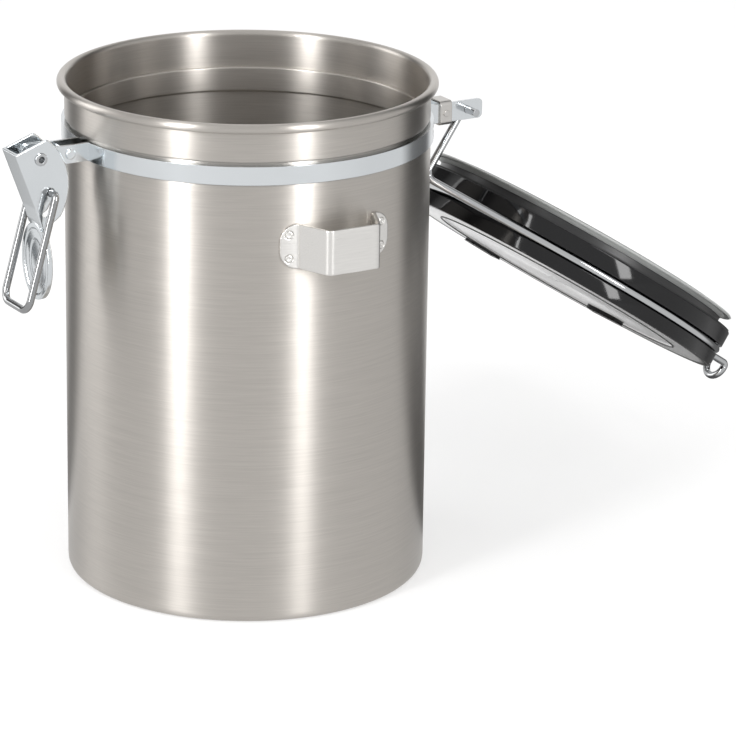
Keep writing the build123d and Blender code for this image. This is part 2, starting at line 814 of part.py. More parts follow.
with BuildPart() as lip_seal:
    with BuildSketch(lid_section):
        with BuildLine():
            Polyline(
                (lip_groove_floor + liner_fit, lip_low),
                (lip_radius - lip_fin / 2, lip_low),
                (lip_radius, lip_low + lip_fin / 2),
                (lip_radius - lip_fin / 2, lip_low + lip_fin),
                (plug_radius + lip_foot_reach, lip_low + lip_fin),
                (plug_radius + liner_fit, lip_foot_top - liner_fit),
                (lip_groove_floor + liner_fit, lip_foot_top - liner_fit),
                close=True,
            )
        make_face()
    revolve(axis=lid_axis)
save(lip_seal.part, "lip_seal")

# ---- One-way valve: body pressed into the liner, rubber flap over its holes, vented cap ----
valve_top = plug_floor + valve_flange
with BuildPart() as valve_body:
    with BuildSketch(lid_frame.offset(plug_bottom)):
        Circle(valve_radius)
    extrude(amount=plug_wall)
    with BuildSketch(lid_frame.offset(plug_floor)):
        Circle(valve_flange_radius)
    extrude(amount=valve_flange)
    with BuildSketch(lid_frame.offset(plug_bottom)):
        with PolarLocations(valve_hole_circle, valve_hole_count):
            Circle(valve_hole_radius)
    extrude(amount=plug_wall + valve_flange, mode=Mode.SUBTRACT)
    with BuildSketch(lid_frame.offset(valve_top)):
        Circle(stem_radius)
    extrude(amount=stem_height)
save(valve_body.part, "valve_body")

with BuildPart() as valve_membrane:
    with BuildSketch(lid_frame.offset(valve_top)):
        Circle(membrane_radius)
        Circle(stem_radius + stem_clearance, mode=Mode.SUBTRACT)
    extrude(amount=membrane_sheet)
save(valve_membrane.part, "valve_membrane")

with BuildPart() as valve_cap:
    with BuildSketch(lid_frame.offset(plug_floor)):
        Circle(valve_flange_radius + liner_fit + valve_cap_sheet)
    extrude(amount=valve_cap_height)
    with BuildSketch(lid_frame.offset(plug_floor)):
        Circle(valve_flange_radius + liner_fit)
    extrude(amount=valve_cap_height - valve_cap_sheet, mode=Mode.SUBTRACT)
    with BuildSketch(lid_frame.offset(plug_floor)):
        for radius, count in zip(valve_cap_circles, valve_cap_counts):
            with PolarLocations(radius, count):
                Circle(valve_cap_hole)
    extrude(amount=valve_cap_height, mode=Mode.SUBTRACT)
save(valve_cap.part, "valve_cap")
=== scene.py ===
"""Clamp-lid food canister: modelled pieces, finishes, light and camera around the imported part."""

import json
import math

import bmesh
import bpy
from mathutils import Matrix, Vector


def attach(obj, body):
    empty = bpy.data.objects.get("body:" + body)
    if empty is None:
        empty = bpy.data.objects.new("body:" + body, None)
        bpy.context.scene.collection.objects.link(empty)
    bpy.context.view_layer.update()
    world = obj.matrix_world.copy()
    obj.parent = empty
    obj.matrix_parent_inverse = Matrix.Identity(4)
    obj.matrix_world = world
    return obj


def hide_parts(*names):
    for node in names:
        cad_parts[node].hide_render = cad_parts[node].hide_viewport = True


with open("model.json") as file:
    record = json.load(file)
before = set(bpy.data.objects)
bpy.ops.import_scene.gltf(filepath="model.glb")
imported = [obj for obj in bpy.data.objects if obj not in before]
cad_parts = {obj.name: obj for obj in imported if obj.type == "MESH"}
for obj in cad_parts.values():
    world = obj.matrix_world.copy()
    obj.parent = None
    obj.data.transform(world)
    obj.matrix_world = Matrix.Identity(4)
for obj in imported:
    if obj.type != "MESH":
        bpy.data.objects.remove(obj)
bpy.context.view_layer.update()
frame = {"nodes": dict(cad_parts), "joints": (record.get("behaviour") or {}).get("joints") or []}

# ---------------------------------------------------------------- sizes, in millimetres
MM = 0.001
ROUND_STEPS = 256
ON_AXIS = 1e-6
CORNER_SHARE = 0.48

BODY_R = 61.0
RIM_Z = 171.2
WALL = 0.7
CURL_R, CURL_START, CURL_END = 1.6, -110, 180
NECK_R = 60.9
NECK_END = RIM_Z - 3
MOUTH_R = NECK_R - WALL
SHOULDER, NECK_ROUND = 1.2, 1.5
GROOVE_TOP, GROOVE_BOTTOM, GROOVE_R = 158.0, 150.9, 59.4
GROOVE_LOW_ROUND, GROOVE_TOP_ROUND = 0.2, 0.1
BASE_ROUND, PANEL_R, PANEL_FOOT_R, PANEL_RISE, PANEL_ROUND = 3.0, 50.0, 51.5, 1.5, 1.0

LID_R = 62.0
SHELL_BORE, SHELL_STEP, LINER_SEAT = 57.0, 1.0, -4.5
WALL_LOW = -7.2
GROOVE_HALF, WIRE_FLOOR = 1.6, 59.3
SKIRT_R, SKIRT_TOP = 61.6, 6.5
PLATE_SEAT_R, PLATE_SEAT = 60.5, 5.8
DECK_R, DECK_LOW, DECK_TOP, DECK_VENT = 53.08, 1.8, 3.4, 4.0
WHEEL_TOP, PLATE_TOP = 5.2, 6.4

PLUG_R, PLUG_LOW, PLUG_FLAT, GASKET_LOW = 56.4, -13.0, 4.5, -7.8
LINER_BORE, LINER_OUT, LINER_WALL = 8.0, 56.95, 1.8
LIP_FLOOR, LIP_LOW, LIP_TOP, LIP_BACK = 55.6, -12.5, -10.3, 0.9
RING_RADII = (18.0, 30.0, 42.0)
RING_FOOT, RING_CREST, RING_DEPTH, RING_ROUND, RING_LAP = 1.2, 0.9, 0.5, 0.3, 0.001

# DIAL_*: sizes of the black dial ring, painted shade laid where the dial recess step casts its shadow.
DIAL_IN, DIAL_OUT, DIAL_SINK, DIAL_RISE, DIAL_ROUND = 46.7, 47.3, 0.3, 0.35, 0.2
FRAME_LENGTH, FRAME_WIDTH, FRAME_WALL, FRAME_CORNER = 12.8, 4.3, 1.0, 1.0
FRAME_SINK, FRAME_RISE, FRAME_BEVEL, FRAME_FLARE = 0.5, 1.2, 0.25, 0.3
DAY_R, DAY_ANGLE, DAY_COUNT, DAY_SIZE, DAY_SHIFT = 50.4, -88.0, 31, 3.6, 0.3
MONTH_R, MONTH_ANGLE, MONTH_COUNT, MONTH_SIZE = 39.5, -20.0, 12, 4.2
NUMBER_LIFT, NUMBER_DEPTH = 0.03, 0.02

CLIP_Z, CLIP_TURN, FLANGE_R, WELD_ANGLE, WELD_STEP = 130.2, -1.0, 62.0, 16.09, 4.0
WELD_R, WELD_ROOT, WELD_LIP_R, WELD_LIP = 1.25, -0.9, 1.12, -0.1
WELD_DISH, CREST_IN, CREST_OUT, CREST_Z, CREST_ROUND = -0.12, 0.55, 1.0, -0.02, 0.1

joints = {joint["name"]: joint for joint in frame["joints"]}


# ---------------------------------------------------------------- frames
def lid_frame():
    """Matrix of the open lid: origin in the bail wire's plane, x to the hook, y to -Y, z out of its top."""
    turn = joints["day_wheel_turn"]
    out = Vector(turn["axis"]).normalized()
    side = Vector((0, -1, 0))
    forward = side.cross(out)
    rows = Matrix((forward, side, out)).transposed().to_4x4()
    return Matrix.Translation(Vector(turn["pos_m"])) @ rows @ Matrix.Scale(MM, 4)


LID = lid_frame()
ROW = Matrix.Scale(MM, 4)


# ---------------------------------------------------------------- mesh helpers
def finish_mesh(name, mesh, place, sharp=35):
    """Links a mesh as an object in the row frame, smooth but for its sharp edges."""
    mesh.transform(place)
    if place.determinant() < 0:
        mesh.flip_normals()
    mesh.polygons.foreach_set("use_smooth", [True] * len(mesh.polygons))
    mesh.set_sharp_from_angle(angle=math.radians(sharp))
    piece = bpy.data.objects.new(name, mesh)
    bpy.context.scene.collection.objects.link(piece)
    return piece


def arc(centre, radius, start, end, steps=8):
    """Points of an arc, angles in degrees."""
    return [
        (
            centre[0] + radius * math.cos(math.radians(start + (end - start) * i / steps)),
            centre[1] + radius * math.sin(math.radians(start + (end - start) * i / steps)),
        )
        for i in range(steps + 1)
    ]


def rounded(points, radii, steps=5):
    """Closed outline with its corners rounded; radii is one number or one per corner."""
    if not isinstance(radii, (list, tuple)):
        radii = [radii] * len(points)
    result = []
    for i, (corner, radius) in enumerate(zip(points, radii)):
        corner = Vector(corner)
        before = Vector(points[i - 1]) - corner
        after = Vector(points[(i + 1) % len(points)]) - corner
        if radius <= 0:
            result.append(tuple(corner))
            continue
        half = before.angle(after) / 2
        reach = min(radius / math.tan(half), before.length * CORNER_SHARE, after.length * CORNER_SHARE)
        start, end = corner + before.normalized() * reach, corner + after.normalized() * reach
        for k in range(steps + 1):
            t = k / steps
            result.append(tuple(start * (1 - t) ** 2 + corner * 2 * t * (1 - t) + end * t**2))
    return result


def lathe(name, outline, place=ROW, sharp=35, split=None):
    """Solid of revolution about the frame's Z from a closed outline of (radius, height).

    Faces above the height split get the second material.
    """
    mesh = bmesh.new()
    rings = []
    for radius, height in outline:
        if radius < ON_AXIS:
            rings.append([mesh.verts.new((0, 0, height))])
            continue
        rings.append([
            mesh.verts.new((
                radius * math.cos(math.tau * k / ROUND_STEPS),
                radius * math.sin(math.tau * k / ROUND_STEPS),
                height,
            ))
            for k in range(ROUND_STEPS)
        ])
    for i, low in enumerate(rings):
        high = rings[(i + 1) % len(rings)]
        if len(low) == 1 and len(high) == 1:
            continue
        for k in range(ROUND_STEPS):
            n = (k + 1) % ROUND_STEPS
            corners = [low[k % len(low)], low[n % len(low)], high[n % len(high)], high[k % len(high)]]
            mesh.faces.new(list(dict.fromkeys(corners)))
    bmesh.ops.recalc_face_normals(mesh, faces=mesh.faces)
    data = bpy.data.meshes.new(name)
    mesh.to_mesh(data)
    mesh.free()
    if split is not None:
        for face in data.polygons:
            face.material_index = int(face.center.z > split)
    return finish_mesh(name, data, place, sharp)


def softened(name, source, voxel, rounds):
    """Copy of a CAD node with the crisp edges and bends worn round, as pressed sheet has them."""
    mesh = source.data.copy()
    mesh.transform(Matrix.Scale(1 / MM, 4))
    draft = bpy.data.objects.new(name + "_draft", mesh)
    bpy.context.scene.collection.objects.link(draft)
    remesh = draft.modifiers.new("remesh", "REMESH")
    remesh.mode = "VOXEL"
    remesh.voxel_size = voxel
    smooth = draft.modifiers.new("smooth", "SMOOTH")
    smooth.factor = 0.5
    smooth.iterations = rounds
    graph = bpy.context.evaluated_depsgraph_get()
    result = bpy.data.meshes.new_from_object(draft.evaluated_get(graph))
    bpy.data.objects.remove(draft)
    result.materials.clear()
    return finish_mesh(name, result, ROW, 180)


def numerals(name, count, radius, first, size, height):
    """Numbers round a wheel of the lid, reading outwards, the first one at an angle."""
    mesh = bmesh.new()
    for k in range(count):
        text = bpy.data.curves.new("number", "FONT")
        text.body = str(k + 1)
        text.size = size
        text.align_x = "CENTER"
        text.align_y = "CENTER"
        text.extrude = NUMBER_DEPTH
        text.resolution_u = 4
        draft = bpy.data.objects.new("number", text)
        flat = bpy.data.meshes.new_from_object(draft)
        angle = math.radians(first + k * 360 / count)
        turn = Matrix.Rotation(angle - math.pi / 2, 4, "Z")
        flat.transform(turn @ Matrix.Translation((0, radius, height)))
        mesh.from_mesh(flat)
        bpy.data.objects.remove(draft)
    data = bpy.data.meshes.new(name)
    mesh.to_mesh(data)
    mesh.free()
    return finish_mesh(name, data, LID, 30)


def frame_ring(name, radius, angle):
    """Raised frame round a window of the lid's top, bevelled inside and flared outside at its top edge."""
    reach_x, reach_y = FRAME_LENGTH / 2, FRAME_WIDTH / 2
    corners = [(-reach_x, -reach_y), (reach_x, -reach_y), (reach_x, reach_y), (-reach_x, reach_y)]
    around = [(x + math.copysign(FRAME_WALL, x), y + math.copysign(FRAME_WALL, y)) for x, y in corners]
    inner = rounded(corners, FRAME_CORNER, 6)
    outer = rounded(around, FRAME_CORNER + FRAME_WALL, 6)
    low, high = PLATE_TOP - FRAME_SINK, PLATE_TOP + FRAME_RISE
    section = (
        (inner, low, 0), (inner, high - FRAME_BEVEL, 0), (inner, high, FRAME_BEVEL),
        (outer, high, FRAME_FLARE), (outer, high - FRAME_FLARE, 0), (outer, low, 0),
    )
    mesh = bmesh.new()
    rings = []
    for line, level, grow in section:
        rings.append([
            mesh.verts.new((x + math.copysign(grow, x), y + math.copysign(grow, y), level)) for x, y in line
        ])
    for k, low_ring in enumerate(rings):
        high_ring = rings[(k + 1) % len(rings)]
        for n in range(len(low_ring)):
            m = (n + 1) % len(low_ring)
            mesh.faces.new((low_ring[n], low_ring[m], high_ring[m], high_ring[n]))
    bmesh.ops.recalc_face_normals(mesh, faces=mesh.faces)
    turn = math.radians(angle)
    spot = Matrix.Translation((radius * math.cos(turn), radius * math.sin(turn), 0))
    mesh.transform(spot @ Matrix.Rotation(turn + math.pi / 2, 4, "Z"))
    data = bpy.data.meshes.new(name)
    mesh.to_mesh(data)
    mesh.free()
    return finish_mesh(name, data, LID, 40)


# ---------------------------------------------------------------- materials
EDGE_ROUND, RELIEF_DEPTH = 0.00018, 0.0002
LINES_ALONG, LINES_ACROSS, LINES_DETAIL, LINES_RANGE = 4.0, 2400.0, 6.0, (0.25, 0.75)
ROUGH_SPREAD = 0.06
CLOUD_SCALE, CLOUD_DETAIL, CLOUD_ROUGH, CLOUD_TONE = 60.0, 3.0, (0.8, 1.2), (0.94, 1.04)
GRAIN_SCALE, SATIN_SCALE, SATIN_GRAIN = 2000.0, 2500.0, 0.06


def new_material(name, color, metallic, roughness, **sockets):
    """Principled material; extra keywords name its sockets with underscores."""
    material = bpy.data.materials.new(name)
    material.use_nodes = True
    shader = material.node_tree.nodes["Principled BSDF"]
    shader.inputs["Base Color"].default_value = (*color, 1)
    shader.inputs["Metallic"].default_value = metallic
    shader.inputs["Roughness"].default_value = roughness
    for key, value in sockets.items():
        shader.inputs[key.replace("_", " ").title().replace("Ior", "IOR")].default_value = value
    return material, shader


def node(holder, kind, links=(), values=(), **settings):
    """Adds a node, sets its fields or sockets, and links its inputs; links and values go by socket."""
    tree = holder.node_tree
    made = tree.nodes.new(kind)
    for key, value in settings.items():
        if hasattr(made, key):
            setattr(made, key, value)
        else:
            made.inputs[key].default_value = value
    for socket, value in dict(values).items():
        made.inputs[socket].default_value = value
    for socket, source in dict(links).items():
        tree.links.new(source, made.inputs[socket])
    return made


def times(holder, value, factor):
    """A value times a constant."""
    return node(holder, "ShaderNodeMath", {0: value}, {1: factor}, operation="MULTIPLY").outputs[0]


def flattened(holder, vector):
    """A vector with its height taken out."""
    return node(holder, "ShaderNodeVectorMath", {0: vector}, {1: (1, 1, 0)}, operation="MULTIPLY").outputs[0]


def measured(holder, vector, operation, other=(0, 0, 0)):
    """Length of a vector, or its dot product with a constant one."""
    made = node(holder, "ShaderNodeVectorMath", {0: vector}, {1: other}, operation=operation)
    return made.outputs["Value"]


def ranged(holder, value, low, high, before=(0, 1)):
    """A value that runs over the range before, mapped to run from low to high."""
    limits = {"From Min": before[0], "From Max": before[1], "To Min": low, "To Max": high}
    return node(holder, "ShaderNodeMapRange", {"Value": value}, limits).outputs[0]


def mixed(holder, share, first, second):
    """Mix of two shaders, all second where the share is 1."""
    links = {0: share, 1: first.outputs[0], 2: second.outputs[0]}
    return node(holder, "ShaderNodeMixShader", links)


def tinted(material, color, tone):
    """A colour times a grey tone."""
    made = node(
        material, "ShaderNodeMixRGB", {"Color2": tone}, {"Color1": (*color, 1)},
        blend_type="MULTIPLY", Fac=1.0,
    )
    return made.outputs[0]


def relief(material, height, strength):
    """Normal of a fine relief on edges that look a little rounded."""
    edge = node(material, "ShaderNodeBevel", samples=4, Radius=EDGE_ROUND)
    made = node(
        material, "ShaderNodeBump", {"Height": height, "Normal": edge.outputs[0]},
        Strength=strength, Distance=RELIEF_DEPTH,
    )
    return made.outputs[0]


def in_frame(material, place):
    """Coordinates of a piece in the frame of a matrix, in metres."""
    where = node(material, "ShaderNodeTexCoord")
    location, rotation, _ = (place @ Matrix.Scale(1 / MM, 4)).decompose()
    made = node(
        material, "ShaderNodeMapping", {"Vector": where.outputs["Object"]}, vector_type="TEXTURE",
        Location=location, Rotation=rotation.to_euler(),
    )
    return made.outputs[0]


def round_coordinates(material, place, along, across):
    """Coordinates for lines that run round a frame's Z: slow round it, fast along radius and height."""
    local = in_frame(material, place)
    parts = node(material, "ShaderNodeSeparateXYZ", {"Vector": local}).outputs
    angle = node(material, "ShaderNodeMath", {0: parts["Y"], 1: parts["X"]}, operation="ARCTAN2")
    radius = measured(material, flattened(material, local), "LENGTH")
    made = node(material, "ShaderNodeCombineXYZ", {
        "X": times(material, angle.outputs[0], along),
        "Y": times(material, radius, across),
        "Z": times(material, parts["Z"], across),
    })
    return made.outputs[0]


def brushed(name, color, roughness, place=ROW, anisotropy=0.6, bump=0.03, contrast=0.07, metallic=1.0):
    """Steel brushed round a frame's Z."""
    material, shader = new_material(
        name, color, metallic, roughness, anisotropic=anisotropy, anisotropic_rotation=0.25
    )
    lines = round_coordinates(material, place, LINES_ALONG, LINES_ACROSS)
    streaks = node(material, "ShaderNodeTexNoise", {"Vector": lines}, Scale=1.0, Detail=LINES_DETAIL)
    noise = streaks.outputs["Fac"]
    tone = ranged(material, noise, 1 - contrast, 1 + contrast, LINES_RANGE)
    rough = ranged(material, noise, roughness - ROUGH_SPREAD, roughness + ROUGH_SPREAD)
    tangent = node(material, "ShaderNodeTangent", direction_type="RADIAL", axis="Z")
    link = material.node_tree.links.new
    link(tinted(material, color, tone), shader.inputs["Base Color"])
    link(rough, shader.inputs["Roughness"])
    link(relief(material, noise, bump), shader.inputs["Normal"])
    link(tangent.outputs[0], shader.inputs["Tangent"])
    return material


def metal_to_plastic_with_shade_ramp(name, inner, color, roughness, place, radii):
    """Copy of a brushed finish that turns to satin plastic between two radii of the frame; the slow blend
    across that band is painted shade that darkens the top towards its rim.
    """
    material = inner.copy()
    material.name = name
    tree = material.node_tree
    metal = tree.nodes["Principled BSDF"]
    outer = node(
        material, "ShaderNodeBsdfPrincipled", values={"Base Color": (*color, 1)}, Roughness=roughness
    )
    where = node(material, "ShaderNodeTexCoord").outputs["Object"]
    fine = node(material, "ShaderNodeTexNoise", {"Vector": where}, Scale=SATIN_SCALE).outputs["Fac"]
    grain = node(
        material, "ShaderNodeBump", {"Height": fine}, Strength=SATIN_GRAIN, Distance=RELIEF_DEPTH
    )
    tree.links.new(grain.outputs[0], outer.inputs["Normal"])
    reach = measured(material, flattened(material, in_frame(material, place)), "LENGTH")
    # The blend from metal to plastic across the band is partly a real change of material and partly painted
    # shade of the rim's rounded shoulder.
    plastic_share_with_painted_shade = ranged(material, reach, 0, 1, [radius * MM for radius in radii])
    both = mixed(material, plastic_share_with_painted_shade, metal, outer)
    tree.links.new(both.outputs[0], tree.nodes["Material Output"].inputs["Surface"])
    return material


def plain(name, color, metallic, roughness, grain=0.0, **sockets):
    """Even finish with a little colour, roughness and surface variation."""
    material, shader = new_material(name, color, metallic, roughness, **sockets)
    where = node(material, "ShaderNodeTexCoord").outputs["Object"]
    cloud = node(material, "ShaderNodeTexNoise", {"Vector": where}, Scale=CLOUD_SCALE, Detail=CLOUD_DETAIL)
    fine = node(material, "ShaderNodeTexNoise", {"Vector": where}, Scale=GRAIN_SCALE)
    rough = ranged(material, cloud.outputs["Fac"], *(roughness * share for share in CLOUD_ROUGH))
    tone = ranged(material, cloud.outputs["Fac"], *CLOUD_TONE)
    link = material.node_tree.links.new
    link(tinted(material, color, tone), shader.inputs["Base Color"])
    link(rough, shader.inputs["Roughness"])
    link(relief(material, fine.outputs["Fac"], grain), shader.inputs["Normal"])
    return material


steel_outside = brushed("brushed_steel_body", (0.535, 0.505, 0.47), 0.36, anisotropy=0.9)
clip_steel = brushed("clip_steel", (0.78, 0.765, 0.74), 0.3, anisotropy=0.5, contrast=0.04)
zinc = plain("bright_zinc", (0.74, 0.77, 0.79), 1.0, 0.16, grain=0.02)
chrome = plain("bright_wire", (0.54, 0.55, 0.56), 1.0, 0.05)
# The latch loop takes a darker copy of the bright wire: painted shade standing in for the darker reflections
# it shows.
loop_chrome_painted_shade = plain("loop_wire_painted_shade", (0.36, 0.365, 0.37), 1.0, 0.07)
grey_steel = plain("grey_steel", (0.62, 0.60, 0.575), 1.0, 0.3, grain=0.12)
lid_gloss = plain("lid_black_gloss", (0.006, 0.006, 0.0065), 0.0, 0.07, specular_ior_level=0.35)
lid_satin = plain("lid_black_satin", (0.032, 0.032, 0.033), 0.0, 0.42, grain=0.05)
plate_steel = brushed("lid_plate", (0.80, 0.80, 0.80), 0.3, LID, anisotropy=0.85, bump=0.02, metallic=0.55)
# Lid top: brushed metal inside, black plastic at the rim, with painted shade blended across the band between
# them.
top_finish_with_painted_shade = metal_to_plastic_with_shade_ramp("lid_top", plate_steel, (0.03, 0.03, 0.031), 0.4, LID, (57.2, 59.6))
gasket_rubber = plain("gasket_rubber", (0.012, 0.012, 0.012), 0.0, 0.6, grain=0.05)
seal_silicone = plain("seal_silicone", (0.42, 0.43, 0.42), 0.0, 0.45, grain=0.04)
liner_plastic = plain("liner_plastic", (0.022, 0.022, 0.023), 0.0, 0.32, grain=0.03)
wheel_black = plain("wheel_black", (0.012, 0.012, 0.012), 0.0, 0.5, grain=0.05)
wheel_white = plain("wheel_numbers", (0.75, 0.75, 0.73), 0.0, 0.55, grain=0.02)
valve_plastic = plain("valve_plastic", (0.5, 0.5, 0.48), 0.0, 0.4, grain=0.03)
valve_rubber = plain("valve_rubber", (0.2, 0.2, 0.19), 0.0, 0.6, grain=0.05)


def dress(piece, *materials):
    """Gives a piece its materials."""
    piece.data.materials.clear()
    for material in materials:
        piece.data.materials.append(material)


def carry(piece, body, slot, *nodes):
    """A modelled piece rides on a body and replaces the CAD nodes that are named; its slot is not used."""
    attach(piece, body)
    if nodes:
        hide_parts(*nodes)


# ---------------------------------------------------------------- CAD nodes that stay
for name, material in {
    "neck_band_front": zinc,
    "neck_band_rear": zinc,
    "collar_rivet": grey_steel,
    "latch_tie_rivet": zinc,
    "latch_pivot_rivet": chrome,
    "latch_loop": loop_chrome_painted_shade,
    "lid_bail": chrome,
    "lid_top_plate": top_finish_with_painted_shade,
    "lid_gasket": gasket_rubber,
    "lip_seal": seal_silicone,
    "dial_hub": wheel_black,
    "day_wheel": wheel_black,
    "month_wheel": wheel_black,
    "valve_body": valve_plastic,
    "valve_membrane": valve_rubber,
    "valve_cap": valve_plastic,
}.items():
    dress(frame["nodes"][name], material)

# ---------------------------------------------------------------- canister body
body_outline = rounded(
    [(PANEL_R, PANEL_RISE), (PANEL_FOOT_R, 0), (BODY_R, 0), (BODY_R, GROOVE_BOTTOM),
     (GROOVE_R, GROOVE_BOTTOM), (GROOVE_R, GROOVE_TOP), (NECK_R, GROOVE_TOP), (NECK_R, NECK_END)],
    [PANEL_ROUND, PANEL_ROUND, BASE_ROUND, SHOULDER,
     GROOVE_LOW_ROUND, GROOVE_TOP_ROUND, NECK_ROUND - GROOVE_TOP_ROUND, 0],
)
body_outline += arc((MOUTH_R + CURL_R, RIM_Z - CURL_R), CURL_R, CURL_START, CURL_END, 20)
body_outline += rounded(
    [(MOUTH_R, GROOVE_TOP + WALL), (GROOVE_R - WALL, GROOVE_TOP + WALL),
     (GROOVE_R - WALL, GROOVE_BOTTOM - WALL), (BODY_R - WALL, GROOVE_BOTTOM - WALL),
     (BODY_R - WALL, WALL), (PANEL_FOOT_R, WALL), (PANEL_R, PANEL_RISE + WALL)],
    [0.8, 0.6, 0.6, 0.8, BASE_ROUND - WALL, PANEL_ROUND, PANEL_ROUND],
)
body_outline += [(0, PANEL_RISE + WALL), (0, PANEL_RISE)]
canister = lathe("canister", body_outline)
dress(canister, steel_outside)
carry(canister, "canister", "brushed_steel_body", "canister_body")

# ---------------------------------------------------------------- pressed sheet pieces
for name, voxel, rounds, body, slot, material in (
    ("scoop_clip", 0.22, 5, "canister", "brushed_steel_body", clip_steel),
    ("hinge_collar", 0.15, 6, "canister", "grey_steel", grey_steel),
    ("latch_lever", 0.2, 8, "lever", "bright_zinc", zinc),
):
    piece = softened(name + "_sheet", frame["nodes"][name], voxel, rounds)
    dress(piece, material)
    carry(piece, body, slot, name)

# ---------------------------------------------------------------- spot welds of the clip
weld_outline = [(0, WELD_ROOT), (0, WELD_DISH)]
weld_outline += arc((CREST_IN, CREST_Z), CREST_ROUND, 200, 90, 3)
weld_outline += arc((CREST_OUT, CREST_Z), CREST_ROUND, 90, 0, 3)
weld_outline += [(WELD_LIP_R, WELD_LIP), (WELD_R, WELD_LIP), (WELD_R, WELD_ROOT)]
for column, side in enumerate((-1, 1)):
    for row, level in enumerate((-1, 1)):
        angle = math.radians(-90 + CLIP_TURN + side * WELD_ANGLE)
        out = Vector((math.cos(angle), math.sin(angle), 0))
        around = Vector((-out.y, out.x, 0))
        turn = Matrix((around, Vector((0, 0, 1)), out)).transposed().to_4x4()
        spot = Matrix.Translation((out * FLANGE_R + Vector((0, 0, CLIP_Z + level * WELD_STEP))) * MM)
        weld = lathe(f"spot_weld_{column}{row}", weld_outline, spot @ turn @ ROW)
        dress(weld, clip_steel)
        carry(weld, "canister", "grey_steel", "clip_spot_welds")

# ---------------------------------------------------------------- lid shell
shell_outline = rounded(
    [(DECK_VENT, DECK_LOW), (SHELL_BORE - SHELL_STEP, DECK_LOW), (SHELL_BORE - SHELL_STEP, LINER_SEAT),
     (SHELL_BORE, LINER_SEAT), (SHELL_BORE, WALL_LOW), (LID_R, WALL_LOW), (LID_R, -GROOVE_HALF),
     (WIRE_FLOOR, -GROOVE_HALF), (WIRE_FLOOR, GROOVE_HALF), (SKIRT_R, GROOVE_HALF), (SKIRT_R, SKIRT_TOP),
     (PLATE_SEAT_R, SKIRT_TOP), (PLATE_SEAT_R, PLATE_SEAT), (DECK_R, PLATE_SEAT), (DECK_R, DECK_TOP),
     (DECK_VENT, DECK_TOP)],
    [0, 0, 0.1, 0.1, 0.3, 0.35, 0.3, 0.6, 0.6, 0.3, 0.9, 0.1, 0, 0.2, 0.2, 0.2],
)
shell = lathe("lid_cover", shell_outline, LID, split=0.0)
dress(shell, lid_gloss, lid_satin)
carry(shell, "lid", "lid_black", "lid_shell")

# ---------------------------------------------------------------- liner with moulded rings
plug_line = [(LINER_BORE, PLUG_LOW), (LINER_BORE + PLUG_FLAT, PLUG_LOW)]
for ring in RING_RADII:
    plug_line += rounded(
        [(ring - RING_FOOT, PLUG_LOW - RING_LAP), (ring - RING_CREST, PLUG_LOW + RING_DEPTH),
         (ring + RING_CREST, PLUG_LOW + RING_DEPTH), (ring + RING_FOOT, PLUG_LOW - RING_LAP)],
        RING_ROUND, 3,
    )
plug_line += rounded(
    [(PLUG_R, PLUG_LOW), (PLUG_R, LIP_LOW), (LIP_FLOOR, LIP_LOW), (LIP_FLOOR, LIP_TOP), (PLUG_R, LIP_TOP),
     (PLUG_R, GASKET_LOW), (LINER_OUT, GASKET_LOW), (LINER_OUT, LINER_SEAT),
     (LINER_OUT - LINER_WALL, LINER_SEAT), (LIP_FLOOR - LIP_BACK, PLUG_LOW + 2 * LINER_WALL),
     (LIP_FLOOR - LIP_BACK, PLUG_LOW + LINER_WALL)],
    [0.6, 0.1, 0.05, 0.05, 0.1, 0.3, 0.2, 0.1, 0.2, 0.2, 0.2],
)
plug_line += [(LINER_BORE, PLUG_LOW + LINER_WALL)]
liner = lathe("liner", plug_line, LID)
dress(liner, liner_plastic)
carry(liner, "lid", "liner_plastic", "lid_liner")

# ---------------------------------------------------------------- dial ring of painted shade, window frames and numbers
# The black dial ring is painted shade: a dark ring set where the shadow of the dial recess step falls.
dial_outline = rounded(
    [(DIAL_IN, PLATE_TOP - DIAL_SINK), (DIAL_OUT, PLATE_TOP - DIAL_SINK),
     (DIAL_OUT, PLATE_TOP + DIAL_RISE), (DIAL_IN, PLATE_TOP + DIAL_RISE)],
    DIAL_ROUND,
)
dial_shade_ring = lathe("dial_shade_ring", dial_outline, LID)
dress(dial_shade_ring, lid_satin)
carry(dial_shade_ring, "lid", "lid_black")

for name, radius, angle in (("day_frame", DAY_R, DAY_ANGLE), ("month_frame", MONTH_R, MONTH_ANGLE)):
    piece = frame_ring(name, radius, angle)
    dress(piece, lid_gloss)
    carry(piece, "lid", "lid_black")

for name, body, count, radius, angle, size in (
    ("day_numbers", "day_dial", DAY_COUNT, DAY_R - DAY_SHIFT, DAY_ANGLE, DAY_SIZE),
    ("month_numbers", "month_dial", MONTH_COUNT, MONTH_R, MONTH_ANGLE, MONTH_SIZE),
):
    piece = numerals(name, count, radius, angle, size, WHEEL_TOP + NUMBER_LIFT)
    dress(piece, wheel_white)
    carry(piece, body, "wheel_black")

# ---------------------------------------------------------------- floor, light and camera
AIM = Vector((0.03518, -0.02156, 0.06923))
VIEW_TURN, VIEW_UP, VIEW_ROLL, VIEW_DISTANCE = 31.5, 18.787, 0.858, 1.3746
FOCAL, SENSOR = 197.9, 36
STUDIO_STOPS = (
    (0.0, 0.95), (0.06, 0.85), (0.12, 0.1), (0.2, 0.15), (0.28, 0.9), (0.4, 0.72), (0.7, 0.76), (1.0, 0.8)
)
FLAG_TURN, FLAG_EDGES, FLAG_LEVEL = VIEW_TURN - 128, (0.93, 0.985), 0.05
FLOOR_REACH, FLOOR_GREY, FLOOR_ROUGH = 6.0, (0.88, 0.88, 0.88), 0.9
FLOOR_GLOW, FLOOR_SHARE, FLOOR_MIRROR = 1.2, 0.35, 0.85
WORLD_LEVEL = 0.9


